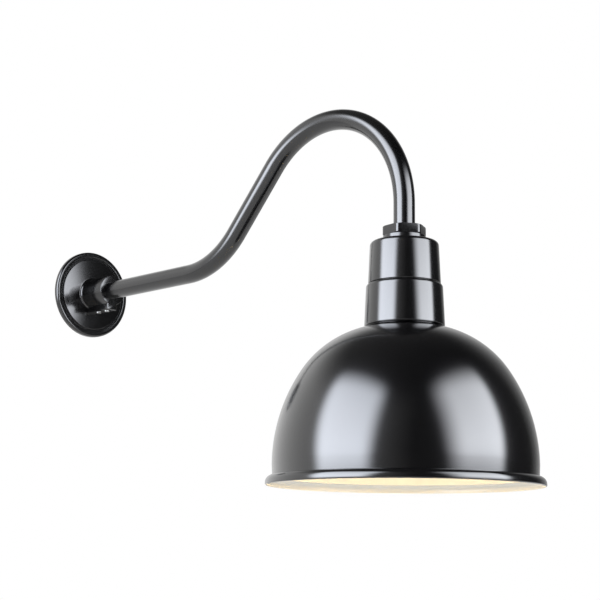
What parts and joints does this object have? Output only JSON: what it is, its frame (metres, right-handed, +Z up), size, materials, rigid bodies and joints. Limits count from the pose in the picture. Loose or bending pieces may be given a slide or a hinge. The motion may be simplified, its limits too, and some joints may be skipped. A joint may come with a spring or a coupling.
{
  "type": "gooseneck wall light",
  "caption": "Black gooseneck wall light: a curved tube arm on a round wall flange carries a downward dome shade with a white inside and a screw-in lamp.",
  "frame": {"origin": "centre of the strap's back face, in the wall plane, on the axis of the arm's wall run", "axes": "-Y along the arm's wall run away from the wall, +Z up, +X to the right of someone who faces the wall"},
  "size_m": [0.318, 0.7884, 0.4723],
  "materials": {
    "zinc_steel": "bright zinc plate",
    "green_steel": "green dyed zinc",
    "black_powder_coat": "smooth semi-gloss black powder coat",
    "black_cast_coat": "semi-gloss black powder coat over a casting",
    "black_nylon": "moulded nylon",
    "black_insulation": "silicone insulation",
    "white_insulation": "silicone insulation",
    "gasket_rubber": "closed-cell foam",
    "stainless_steel": "plain stainless steel",
    "shade_enamel": "gloss black outside, gloss white inside",
    "glazed_porcelain": "white glaze",
    "shell_brass": "bright brass sheet",
    "lamp_cap_metal": "rolled thread",
    "lamp_vitrite": "black glass insulator",
    "lamp_solder": "solder",
    "frosted_glass": "frosted, warm white"
  },
  "bodies": {
    "mount": {"mounting_strap": "zinc_steel", "strap_screws": "zinc_steel", "ground_screw": "green_steel"},
    "arm": {"gooseneck_arm": "black_powder_coat", "wall_bushing": "black_nylon", "lamp_bushing": "black_nylon", "line_lead": "black_insulation", "neutral_lead": "white_insulation"},
    "strap_nut": {"strap_nut": "zinc_steel"},
    "flange": {"wall_flange": "black_cast_coat", "flange_gasket": "gasket_rubber"},
    "rear_set_screw": {"set_screw_rear": "stainless_steel"},
    "front_set_screw": {"set_screw_front": "stainless_steel"},
    "lock_nut": {"lock_nut": "black_cast_coat"},
    "shade": {"neck": "black_powder_coat", "shade": "shade_enamel", "shade_screws": "zinc_steel", "lampholder_body": "glazed_porcelain", "screw_shell": "shell_brass", "centre_contact": "shell_brass", "lampholder_screws": "zinc_steel"},
    "lamp": {"lamp_cap": "lamp_cap_metal", "lamp_insulator": "lamp_vitrite", "lamp_contact": "lamp_solder", "lamp_globe": "frosted_glass"}
  },
  "joints": [
    {"name": "arm_turn", "type": "hinge", "parent": "mount", "child": "arm", "pos_m": [0, 0, 0], "axis": [0, 1, 0], "range_deg": [-15, 15]},
    {"name": "strap_nut_turn", "type": "hinge", "parent": "arm", "child": "strap_nut", "pos_m": [0, 0, 0], "axis": [0, 1, 0], "continuous": true},
    {"name": "flange_slide", "type": "slide", "parent": "arm", "child": "flange", "axis": [0, -1, 0], "range_m": [0, 0.15]},
    {"name": "rear_set_screw_travel", "type": "slide", "parent": "flange", "child": "rear_set_screw", "axis": [0, 0, -1], "range_m": [0, 0.006]},
    {"name": "front_set_screw_travel", "type": "slide", "parent": "flange", "child": "front_set_screw", "axis": [0, 0, -1], "range_m": [0, 0.006]},
    {"name": "lock_nut_turn", "type": "hinge", "parent": "arm", "child": "lock_nut", "pos_m": [0, -0.6158, 0], "axis": [0, 0, 1], "continuous": true},
    {"name": "shade_swivel", "type": "hinge", "parent": "arm", "child": "shade", "pos_m": [0, -0.6158, 0], "axis": [0, 0, 1], "range_deg": [-175, 175]},
    {"name": "lamp_removal", "type": "slide", "parent": "shade", "child": "lamp", "axis": [0, 0, -1], "range_m": [0, 0.22]}
  ]
}
